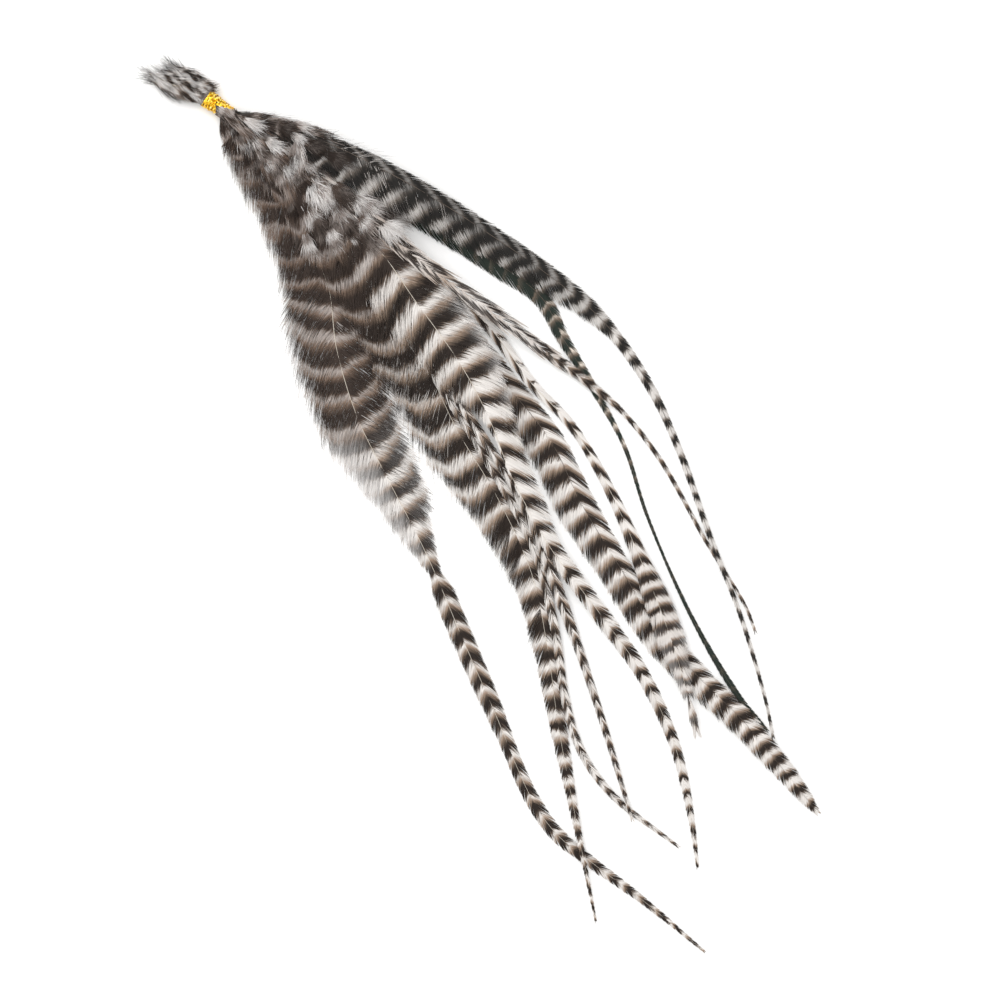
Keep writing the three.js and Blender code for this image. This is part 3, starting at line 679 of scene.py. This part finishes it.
def add_cover(strands, middle, rng):
    """Grey fluff that springs from the tie's lower right half and lies over it."""
    draw = Draws(rng, COVER_COUNT)
    start = draw.even(-0.5, 4.6)
    high = -0.35 + 0.38 * (start + 0.5)
    low = np.minimum(np.maximum(-2.4, -(start + 0.5) / 0.45), high)
    side = low + (high - low) * draw.even()
    length = draw.even(3.5, 8)
    spread = -draw.even(-0.2, 2.4) - (side + 1.2) * 0.5
    t = np.linspace(0, 1, 9)
    wave = draw.wave(t, 0.6, 1.3)
    along = start + length * t
    across = side + spread * t ** 1.3 + wave * t * 0.4
    flat = middle[:2] + along[..., None] * TIE_HEADING + across[..., None] * TIE_ACROSS
    top = np.sqrt(np.maximum((TIE_DIAMETER / 2 + 0.3) ** 2 - np.minimum(np.abs(across), 2.2) ** 2, 0.1))
    fall = np.clip(1 - t, 0, 1) ** 0.7
    height = middle[2] + top * fall + draw.even(0.1, 1.0) * np.sin(t * 2.6)
    points = np.concatenate([flat, height[..., None]], -1)
    values = plain_values(draw.even(), phase=0.35, haze=0.7)
    uneven = 0.5 * ripple(points[..., 0], points[..., 1], 2.2, 31) + 0.25 * draw.bell(1)
    values["patch"] = uneven - 0.1
    strands.add_hairs(points, draw, (0.08, 0.18), (0.7, 1.3), 0.6, values)


class Pile:
    """How high the CAD feathers reach over any place."""

    def __init__(self):
        depsgraph = bpy.context.evaluated_depsgraph_get()
        self.trees = [BVHTree.FromObject(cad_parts[feather["name"] + "_feather"], depsgraph)
                      for feather in FEATHERS]

    def top(self, x, y):
        """The highest point at a place, or 0 off the pile."""
        found = [tree.ray_cast(Vector((x * MM, y * MM, 1)), Vector((0, 0, -1)))[0] for tree in self.trees]
        return max([place.z / MM for place in found if place is not None], default=0.0)


def add_tuft(strands, middle, pile, rng, tuft, lift):
    """A leaf-shaped fan of down that springs from one end, rises a little and droops."""
    x, y, length, width, heading, tone = tuft
    heading = math.radians(heading)
    draw = Draws(rng, int(60 + 32 * length * math.sqrt(width)))
    ahead = turned(np.array([1.0, 0.0]), heading)
    beside = turned(np.array([0.0, 1.0]), heading)
    aside = draw.even(-1, 1)
    angle = heading + aside * (math.atan2(width, length) * 1.1) + draw.bell(0.1)
    run = length * (1.9 - 0.6 * aside ** 2) * (draw.even(0.5, 1.1) + 0.2 * draw.even() ** 6)
    root = np.array([x, y]) - ahead * length * 0.95
    start = root + beside * (aside * width * 0.35) + ahead * (draw.even(-0.2, 0.8) * length)
    t = np.linspace(0, 1, 7)
    bend = (-0.3 * aside + draw.bell(0.25)) * t
    wave = 0.18 * np.sin(2 * math.pi * (t * draw.even(0.7, 1.5) + draw.even()))
    way = angle + bend + wave
    step = run / (len(t) - 1)
    flat = np.stack([np.cumsum(turn(way) * step, 1) for turn in (np.cos, np.sin)], -1)
    flat = flat + (start + middle[:2])[:, None]
    ground = max(pile.top(*(place + middle[:2])) for place in (np.array([x, y]), root))
    height = ground + lift + np.sin(t * 2.6) * draw.even() - 0.6 * t ** 2
    points = np.concatenate([flat, height[..., None]], -1)
    values = plain_values(draw.even(), phase=0.35, haze=0.8)
    own = tone * (0.85 + 0.15 * draw.even()) + draw.bell(0.3 * (1.25 - abs(tone)))
    apart = np.hypot(flat[..., 0] - middle[0], flat[..., 1] - middle[1])
    arcs = np.sin(2 * math.pi * apart / DOWN_BAR_PITCH + 1.5 * ripple(flat[..., 0], flat[..., 1], 9.0, 41))
    mixed = own + 0.6 * (1 - abs(tone)) * arcs
    values["patch"] = mixed * np.clip(1.2 - 0.3 * t, 0, 1) * np.clip(0.3 + 2.5 * t, 0, 1)
    thick = draw.even(0.09, 0.19) * (1 - 0.8 * t ** 1.4) * np.clip(0.3 + 4 * t, 0, 1)
    strands.add(points, thick, draw.bell(0.35), values)


def add_tufts(strands, middle, pile, rng):
    """The tufts on the pile, the nearer to the tie the higher, with faint ones under them."""
    faint = []
    for _ in range(FAINT_TUFTS):
        run = rng.uniform(6, 50)
        place = (run * 0.7 + rng.normal(0, 0.11 * run), -run * 0.66 + rng.normal(0, 0.11 * run))
        faint.append((*place, rng.uniform(2.4, 4.2), 1.6, rng.normal(-50, 14), rng.uniform(-0.6, 0.25)))
    for group, lift in ((faint, 0.1), (TUFTS, 0.7)):
        for tuft in sorted(group, key=lambda tuft: -math.hypot(tuft[0], tuft[1])):
            nearness = 1 - math.hypot(tuft[0], tuft[1]) / TUFT_RANGE
            on_top = 0.35 if tuft[5] > 0.7 else 0.0
            add_tuft(strands, middle, pile, rng, tuft, lift + 0.8 * nearness + on_top)


def add_butt_wisps(strands, feather, course, rng):
    """Loose ends that reach a little past the cut quill."""
    draw = Draws(rng, WISP_COUNT)
    roots = -feather["butt"] + draw.even(1.5, 6)
    t = np.linspace(0, 1, 8)
    s = roots - draw.even(3, 7.2) * t
    v = draw.bell(0.3) + draw.bell(1.1) * t ** 1.3
    points = course.place(s, v, VANE_LIFT + draw.even() * np.sin(t * 2.4))
    values = plain_values(draw.even(), dark=0.0, patch=np.where(draw.even() < 0.4, -0.9, 0.2))
    strands.add_hairs(points, draw, (0.06, 0.14), (0.8, 1), 0.4, values)


def clear_of_tie(points, middle):
    """Lifts points that would lie inside the tie out to its surface, and keeps all above the floor."""
    flat = points[..., :2] - middle[:2]
    along = flat @ TIE_HEADING
    across = flat @ TIE_ACROSS
    up = points[..., 2] - middle[2]
    near = np.clip((TIE_LENGTH / 2 + TIE_ROUNDING - np.abs(along)) / TIE_ROUNDING, 0, 1)
    target = (TIE_DIAMETER / 2 + 0.25) * near
    away = np.hypot(across, up)
    push = np.where(away < target, target / np.maximum(away, 0.05), 1)
    moved = points.copy()
    for k in (0, 1):
        moved[..., k] += TIE_ACROSS[k] * (across * push - across)
    moved[..., 2] = np.maximum(middle[2] + up * push, FLOOR_GAP)
    return moved


def unit(vectors, least):
    """The vectors at length 1, but for those shorter than the least."""
    return vectors / np.maximum(np.linalg.norm(vectors, axis=2), least)[..., None]


def ribbon_edges(points, widths, roll):
    """The two edge points at every point of every ribbon, which lies level but for its roll."""
    tangent = unit(np.gradient(points, axis=1), 1e-9)
    level = unit(np.cross(tangent, UP), 1e-6)
    upright = np.cross(level, tangent)
    across = level * np.cos(roll)[..., None] + upright * np.sin(roll)[..., None]
    half = across * widths[..., None] / 2
    pair = np.stack([points - half, points + half], axis=2)
    pair[..., 2] = np.maximum(pair[..., 2], FLOOR_GAP * 0.5)
    return pair.reshape(-1, 3)


def ribbon_mesh(strands, middle):
    """Vertices, faces, baking coordinates and values of all ribbons."""
    verts, faces, corners, values = [], [], [], {}
    total = sum(len(batch[0]) for batch in strands.batches)
    columns = int(math.ceil(math.sqrt(total * 3.0)))
    rows = int(math.ceil(total / columns))
    start = 0
    done = 0
    for points, widths, roll, batch_values in strands.batches:
        n, m = points.shape[:2]
        verts.append(ribbon_edges(clear_of_tie(points, middle), widths, roll))
        first = start + np.arange(n)[:, None] * (2 * m) + np.arange(m - 1)[None] * 2
        faces.append(np.stack([first, first + 1, first + 3, first + 2], axis=-1).reshape(-1, 4))
        corners.append(bake_cells(done + np.arange(n), m, columns, rows))
        for key, value in batch_values.items():
            values.setdefault(key, []).append(np.repeat(np.broadcast_to(value, (n, m)).ravel(), 2))
        start += n * m * 2
        done += n
    joined = {key: np.concatenate(parts) for key, parts in values.items()}
    return np.vstack(verts), np.vstack(faces), np.vstack(corners), joined


def bake_cells(index, m, columns, rows):
    """A narrow upright cell of the baking map for each ribbon, above a strip kept for the shaft."""
    left = (index % columns) / columns
    low = 0.06 + 0.94 * (index // columns) / rows
    v = low[:, None] + np.linspace(0.06, 0.94, m) * 0.94 / rows
    a, b = [np.stack([np.broadcast_to((left + share / columns)[:, None], v.shape), v], -1)
            for share in (0.15, 0.85)]
    return np.stack([a[:, :-1], b[:, :-1], b[:, 1:], a[:, 1:]], axis=2).reshape(-1, 2)


# The shaft

def tube_faces(rings, sides, offset):
    """The faces of a tube between its rings of vertices."""
    ring = offset + np.arange(rings - 1)[:, None] * sides
    side = np.arange(sides)
    after = (side + 1) % sides
    faces = [ring + side, ring + after, ring + sides + after, ring + sides + side]
    return np.stack(faces, -1).reshape(-1, 4)


def shaft_corners(rings):
    """The shaft's faces on the strip of the baking map below the barbs' cells."""
    i = np.arange(rings - 1)[:, None]
    k = np.arange(SHAFT_SIDES)
    corners = [np.broadcast_arrays((i + a) / rings, SHAFT_STRIP * (k + b) / SHAFT_SIDES)
               for a, b in ((0, 0), (0, 1), (1, 1), (1, 0))]
    return np.stack([np.stack(corner, -1) for corner in corners], 2).reshape(-1, 2)


def shaft_mesh(course, offset):
    """A tapering tube along the shaft."""
    at = np.arange(course.start, course.end - 0.5, 1.0)
    share = (at - course.start) / (at[-1] - course.start)
    radius = SHAFT_ROOT_RADIUS + (SHAFT_TIP_RADIUS - SHAFT_ROOT_RADIUS) * share ** 0.6
    radius = radius + QUILL_SWELL * np.clip((-8 - at) / 6, 0, 1)
    middle = course.place(at, 0, SHAFT_LIFT + SHAFT_WAVE * np.sin(at * 2 * math.pi / SHAFT_WAVE_PITCH))
    side = np.stack([*course.read(at, course.side), np.zeros(len(at))], 1)
    turn = np.arange(SHAFT_SIDES) / SHAFT_SIDES * 2 * math.pi
    ring = side[:, None] * np.cos(turn)[None, :, None] + UP * np.sin(turn)[None, :, None]
    verts = (middle[:, None] + ring * radius[:, None, None]).reshape(-1, 3)
    verts[:, 2] = np.maximum(verts[:, 2], FLOOR_GAP * 0.5)
    return verts, tube_faces(len(at), SHAFT_SIDES, offset), shaft_corners(len(at))


# Materials

class Shading:
    """A new material with its shader, and short ways to add the nodes that it needs."""

    def __init__(self, name):
        self.material = bpy.data.materials.new(name)
        self.material.use_nodes = True
        self.nodes = self.material.node_tree.nodes
        self.links = self.material.node_tree.links
        self.nodes.clear()
        output = self.nodes.new("ShaderNodeOutputMaterial")
        self.shader = self.nodes.new("ShaderNodeBsdfPrincipled")
        self.links.new(self.shader.outputs["BSDF"], output.inputs["Surface"])

    def feed(self, target, value):
        """Gives an input a number or a colour, or links it to another node's output."""
        if isinstance(value, tuple):
            target.default_value = (*value, 1)
        elif isinstance(value, (int, float)):
            target.default_value = value
        else:
            self.links.new(value, target)

    def node(self, kind, output, **inputs):
        """An output of a new node, fed by the inputs' names, with _ for a space."""
        node = self.nodes.new("ShaderNode" + kind)
        for name, value in inputs.items():
            self.feed(node.inputs[name.replace("_", " ")], value)
        return node.outputs[output]

    def surface(self, **inputs):
        """Feeds the shader's own inputs, named in the same way."""
        for name, value in inputs.items():
            self.feed(self.shader.inputs[name.replace("_", " ")], value)

    def math(self, operation, a, b=0.0, clamp=False):
        """A Math node on two values."""
        node = self.nodes.new("ShaderNodeMath")
        node.operation = operation
        node.use_clamp = clamp
        self.feed(node.inputs[0], a)
        self.feed(node.inputs[1], b)
        return node.outputs[0]

    def scaled(self, value, times, plus):
        """The value times one number plus another."""
        return self.math("ADD", self.math("MULTIPLY", value, times), plus)

    def mix(self, factor, a, b, blend="MIX"):
        """A mix of two colours."""
        node = self.nodes.new("ShaderNodeMix")
        node.data_type = "RGBA"
        node.blend_type = blend
        for index, value in ((0, factor), (6, a), (7, b)):
            self.feed(node.inputs[index], value)
        return node.outputs[2]

    def ramp(self, factor, stops):
        """A ramp through colours at positions."""
        node = self.nodes.new("ShaderNodeValToRGB")
        elements = node.color_ramp.elements
        while len(elements) < len(stops):
            elements.new(0.5)
        for element, (position, colour) in zip(elements, stops):
            element.position = position
            element.color = (*colour, 1)
        self.feed(node.inputs[0], factor)
        return node.outputs[0]

    def value(self, name):
        """A value stored on the mesh's points."""
        output = self.node("Attribute", "Fac")
        output.node.attribute_name = name
        return output

    def grain(self, scale, detail=3.0):
        """Fine unevenness in space."""
        place = self.node("TexCoord", "Object")
        return self.node("TexNoise", "Fac", Scale=scale, Detail=detail, Vector=place)

    def roughen(self, height, strength, depth):
        """Bump from a height value."""
        self.surface(Normal=self.node("Bump", "Normal", Strength=strength, Distance=depth, Height=height))


def bar_factor(shading, mottle):
    """Where each point lies in its bar, 0 to 1 between the pale ends; a high dark value widens the dark."""
    waver = shading.math("MULTIPLY", shading.grain(130, 1.0), 0.3)
    shifted = shading.math("ADD", shading.value("phase"), 0.31)
    shifted = shading.math("ADD", shifted, waver)
    shifted = shading.math("ADD", shifted, shading.math("MULTIPLY", mottle, 0.08))
    part = shading.math("FRACT", shifted)
    part = shading.math("ADD", part, shading.math("MULTIPLY", shading.value("edge"), part))
    centred = shading.math("SUBTRACT", part, 0.5)
    widened = shading.math("DIVIDE", centred, shading.math("MULTIPLY", shading.value("dark"), 2.0))
    return shading.math("ADD", widened, 0.5, clamp=True)


def barb_material(kind):
    """Barred barbs: pale, a tan edge, the dark bar and a streaky fade back to pale, with painted shade on
    down.
    """
    pale, fringe, dark, positions = BARB_LOOKS[kind]
    shading = Shading(kind + "_barbs")
    mottle = shading.grain(900)
    cream = tuple(0.6 * p + 0.4 * f for p, f in zip(pale, fringe))
    brown = tuple(0.65 * d + 0.35 * f for d, f in zip(dark, fringe))
    colours = (pale, cream, fringe, brown, dark, dark, brown, pale)
    bars = shading.ramp(bar_factor(shading, mottle), [(0.0, pale), *zip(positions, colours)])
    haze = shading.value("haze")
    # Painted shade: the haze value dims the down through the grey-lilac filter, in place of self-shadow and
    # dark layers seen through it; then it blurs the bars towards brown
    bars = shading.mix(1.0, bars, shading.mix(haze, (1.0, 1.0, 1.0), PAINTED_SHADE_FILTER), "MULTIPLY")
    bars = shading.mix(shading.math("MULTIPLY", haze, 0.5), bars, HAZE_COLOUR)
    tone = shading.value("tone")
    patch = shading.math("MULTIPLY", shading.value("patch"), shading.scaled(tone, 0.4, 0.8))
    bars = shading.mix(shading.math("MAXIMUM", patch, 0.0, clamp=True), bars, PUFF_COLOUR)
    bars = shading.mix(shading.math("MULTIPLY", patch, -1.0, clamp=True), bars, dark)
    bars = shading.mix(1.0, bars, shading.scaled(tone, 0.2, 0.89), "MULTIPLY")
    shading.surface(Base_Color=bars, Roughness=shading.scaled(mottle, 0.25, 0.45),
                    Specular_IOR_Level=0.09, Sheen_Weight=0.03, Sheen_Roughness=0.4)
    shading.roughen(shading.grain(5000), 0.25, 0.00004)
    return shading.material


def shaft_material(kind):
    """Smooth horn with faint lengthwise mottling."""
    colour, speck = SHAFT_LOOKS[kind]
    shading = Shading(kind + "_shaft")
    mottle = shading.grain(260)
    shading.surface(Base_Color=shading.mix(mottle, colour, speck), Specular_IOR_Level=0.45,
                    Roughness=shading.scaled(mottle, 0.2, 0.2))
    shading.roughen(shading.grain(3000), 0.2, 0.00003)
    return shading.material


def tinsel_material():
    """Bright gold foil, crinkled so that it sparkles, with painted shade and highlights in its colour."""
    shading = Shading("gold_tinsel")
    crinkle = shading.grain(1400, 2.0)
    # Painted shade and painted highlight: the crinkle runs the base colour from dark orange to pale yellow
    shading.surface(Base_Color=shading.ramp(crinkle, TINSEL_SHADE_AND_HIGHLIGHT_COLOURS), Metallic=1.0,
                    Roughness=shading.scaled(crinkle, 0.2, 0.08))
    shading.roughen(crinkle, 0.7, 0.00025)
    return shading.material


# Building the pieces

def add_object(name, data):
    """A new object in the scene."""
    added = bpy.data.objects.new(name, data)
    bpy.context.scene.collection.objects.link(added)
    return added


def mesh_object(name, verts, faces, corners, values, materials, material_index):
    """A mesh from arrays in millimetres, with its baking map and the values that its material reads."""
    mesh = bpy.data.meshes.new(name)
    mesh.vertices.add(len(verts))
    mesh.vertices.foreach_set("co", (verts * MM).astype(np.float32).ravel())
    mesh.loops.add(faces.size)
    mesh.loops.foreach_set("vertex_index", faces.astype(np.int32).ravel())
    mesh.polygons.add(len(faces))
    mesh.polygons.foreach_set("loop_start", np.arange(0, faces.size, faces.shape[1], dtype=np.int32))
    mesh.polygons.foreach_set("material_index", material_index.astype(np.int32))
    mesh.update(calc_edges=True)
    mesh.validate()
    mesh.polygons.foreach_set("use_smooth", np.ones(len(mesh.polygons), dtype=bool))
    layer = mesh.uv_layers.new(name="OFBake")
    layer.data.foreach_set("uv", corners.astype(np.float32).ravel())
    for key, value in values.items():
        attribute = mesh.attributes.new(key, "FLOAT", "POINT")
        attribute.data.foreach_set("value", value.astype(np.float32))
    for material in materials:
        mesh.materials.append(material)
    return add_object(name, mesh)


def feather_strands(feather, course, middle, pile, rng):
    """All ribbons of one feather: barbs on both sides, stray hairs, and down near the quill."""
    strands = Strands()
    for fine in (False, True):
        for sign in (-1, 1):
            add_side(strands, feather, course, sign, rng, fine)
    if feather["bundles"]:
        for sign in (-1, 1):
            add_bundles(strands, feather, course, sign, rng)
    for stray in feather["stray"]:
        add_stray(strands, feather, course, rng, *stray)
    add_down(strands, feather, course, rng, **DOWN)
    add_down(strands, feather, course, rng, span=(0.5 - feather["butt"], -5), **BUTT_DOWN)
    add_butt_wisps(strands, feather, course, rng)
    if feather["flank_down"]:
        add_down(strands, feather, course, rng, **feather["flank_down"])
    if feather["name"] == "front":
        add_cover(strands, middle, rng)
    if feather["name"] == "sparse":
        add_tufts(strands, middle, pile, rng)
    return strands


def tuft_tone(along, across):
    """Silky dark and pale streaks along the tuft beyond the tie."""
    streak = ripple(along * 0.16, across, 1.2, 71) + 0.5 * ripple(along * 0.4, across, 0.7, 72)
    fringe = np.clip((-3.9 - across) / 0.8, 0, 1) * np.clip((-6 - along) / 2, 0, 1)
    return np.clip(0.3 + 0.9 * streak, -0.95, 0.66) * (1 - fringe) - 0.85 * fringe


def tint_near_tie(values, x, y, seed):
    """Streaks the tuft beyond the tie, and breaks up the bars of the down before it."""
    along, across = [x * way[0] + y * way[1] for way in (TIE_HEADING, TIE_ACROSS)]
    near = np.clip((NEAR_TIE - np.hypot(x, y)) / NEAR_FADE, 0, 1)
    behind = np.clip((-BEHIND_TIE - along) / BEHIND_FADE, 0, 1)
    values["patch"] = values["patch"] + behind * tuft_tone(along, across)
    # Less of the down's painted shade and blur on the tuft beyond the tie
    values["haze"] = values["haze"] * (1 - 0.7 * behind)
    values["phase"] = values["phase"] + 0.22 * near * ripple(x, y, 3.5, seed)


def build_feather(feather, middle, pile, materials, seed):
    """One whole feather: its barbs, down and shaft joined in one mesh."""
    course = Course(feather, middle)
    strands = feather_strands(feather, course, middle, pile, np.random.default_rng(seed))
    verts, faces, corners, values = ribbon_mesh(strands, middle)
    tint_near_tie(values, verts[:, 0] - middle[0], verts[:, 1] - middle[1], seed)
    shaft_verts, shaft_faces, shaft_cells = shaft_mesh(course, len(verts))
    for key in values:
        values[key] = np.concatenate([values[key], np.zeros(len(shaft_verts))])
    material_index = np.repeat([0, 1], [len(faces), len(shaft_faces)])
    piece = mesh_object(feather["name"] + "_plume", np.vstack([verts, shaft_verts]),
                        np.vstack([faces, shaft_faces]), np.vstack([corners, shaft_cells]),
                        values, materials, material_index)
    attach(piece, "root")
    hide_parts(feather["name"] + "_feather")


def tinsel_paths(rng):
    """The tinsel's way round the tie: a tight winding from end to end, then slack turns across it."""
    angle = np.linspace(0, TINSEL_TURNS * 2 * math.pi, TINSEL_TURNS * 26)
    along = (angle / angle[-1] - 0.5) * (TIE_LENGTH - 0.5)
    along = along + 0.05 * np.sin(angle * 0.37) + 0.04 * np.sin(angle * 0.171 + 1)
    radius = TIE_DIAMETER / 2 - 0.16 + 0.05 * np.sin(angle * 0.23 + 2) - 0.22 * np.tanh(along)
    paths = [(angle, along, radius)]
    for start, slant in SLACK_TURNS:
        angle = np.linspace(0, 2 * math.pi * 2, 60)
        along = start + slant * np.sin(angle / 2 + rng.uniform(0, 3))
        paths.append((angle, along, TIE_DIAMETER / 2 + 0.1 - 0.26 * np.tanh(along)))
    return paths


def wrap_mesh(middle, rng):
    """A flat strip of tinsel along each of its paths, tilted unevenly."""
    heading = np.array([*TIE_HEADING, 0.0])
    beside = np.array([*TIE_ACROSS, 0.0])
    verts, faces = [], []
    offset = 0
    for angle, along, radius in tinsel_paths(rng):
        out = beside * np.cos(angle)[:, None] + UP * np.sin(angle)[:, None]
        spine = middle + heading * along[:, None] + out * radius[:, None]
        tilt = 0.35 * np.sin(angle * 1.7) + 0.3 * np.sin(angle * 4.3 + 1) + rng.normal(0, 0.18, len(angle))
        flat = heading * np.cos(tilt)[:, None] + out * np.sin(tilt)[:, None]
        thick = out * np.cos(tilt)[:, None] - heading * np.sin(tilt)[:, None]
        corner = [spine + flat * a * TINSEL_HALF_WIDTH + thick * b * TINSEL_HALF_DEPTH
                  for a, b in ((-1, -1), (1, -1), (1, 1), (-1, 1))]
        verts.append(np.stack(corner, axis=1).reshape(-1, 3))
        faces.append(tube_faces(len(angle), 4, offset))
        offset += 4 * len(angle)
    return np.vstack(verts), np.vstack(faces)


def build_tie(middle):
    """The wound tinsel in place of the ribbed sleeve."""
    verts, faces = wrap_mesh(middle, np.random.default_rng(5))
    verts[:, 2] = np.maximum(verts[:, 2], 0.0)
    cells = int(math.ceil(math.sqrt(len(faces))))
    index = np.arange(len(faces))
    u, v = (index % cells) / cells, (index // cells) / cells
    corners = np.stack([np.stack([u + a / cells, v + b / cells], -1)
                        for a, b in ((0.1, 0.1), (0.9, 0.1), (0.9, 0.9), (0.1, 0.9))], axis=1)
    piece = mesh_object("gold_tinsel_wrap", verts, faces, corners.reshape(-1, 2), {}, [tinsel_material()],
                        np.zeros(len(faces)))
    piece.data.polygons.foreach_set("use_smooth", np.zeros(len(faces), dtype=bool))
    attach(piece, "root")
    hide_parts("gold_tie")


# The studio

def build_camera():
    """A camera looking straight down, with the tie at the upper left."""
    data = bpy.data.cameras.new("camera")
    data.sensor_width = SENSOR
    data.lens = SENSOR * CAMERA_HEIGHT / FIELD
    camera = add_object("camera", data)
    camera.location = (*VIEW_CENTRE, CAMERA_HEIGHT)
    bpy.context.scene.camera = camera


def build_floor():
    """A plain near-white floor just under the feathers."""
    mesh = bpy.data.meshes.new("floor")
    square = [(-1, -1), (1, -1), (1, 1), (-1, 1)]
    mesh.from_pydata([(x * FLOOR_HALF, y * FLOOR_HALF, 0) for x, y in square], [], [(0, 1, 2, 3)])
    floor = add_object("floor", mesh)
    floor.location.z = -FLOOR_DROP
    shading = Shading("floor")
    shading.surface(Base_Color=(0.92, 0.92, 0.92), Roughness=0.9, Specular_IOR_Level=0.1)
    mesh.materials.append(shading.material)


def add_area_light(name, place, size, power):
    """A square soft light aimed at the middle of the floor."""
    data = bpy.data.lights.new(name, "AREA")
    data.size = size
    data.energy = power
    light = add_object(name, data)
    light.location = place
    light.rotation_euler = (-Vector(place)).to_track_quat("-Z", "Y").to_euler()


def build_light():
    """Even light from all round, with a broad key from the upper left."""
    world = bpy.data.worlds.new("studio")
    world.use_nodes = True
    background = world.node_tree.nodes["Background"]
    background.inputs["Color"].default_value = (1.0, 0.99, 0.975, 1)
    background.inputs["Strength"].default_value = 1.08
    bpy.context.scene.world = world
    add_area_light("key", (-0.3, 0.4, 1.0), 0.8, 6.0)
    bpy.context.scene.view_settings.view_transform = "Standard"


def main():
    low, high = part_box("gold_tie")
    middle = (np.array(low) + np.array(high)) / 2 / MM
    build_camera()
    build_floor()
    build_light()
    shafts = {kind: shaft_material(kind) for kind in SHAFT_LOOKS}
    barbs = {kind: barb_material(kind) for kind in BARB_LOOKS}
    pile = Pile()
    for seed, own in enumerate(FEATHERS, start=11):
        feather = {**USUAL, **own}
        build_feather(feather, middle, pile, [barbs[feather["profile"]], shafts[feather["shaft"]]], seed)
    build_tie(middle)


main()
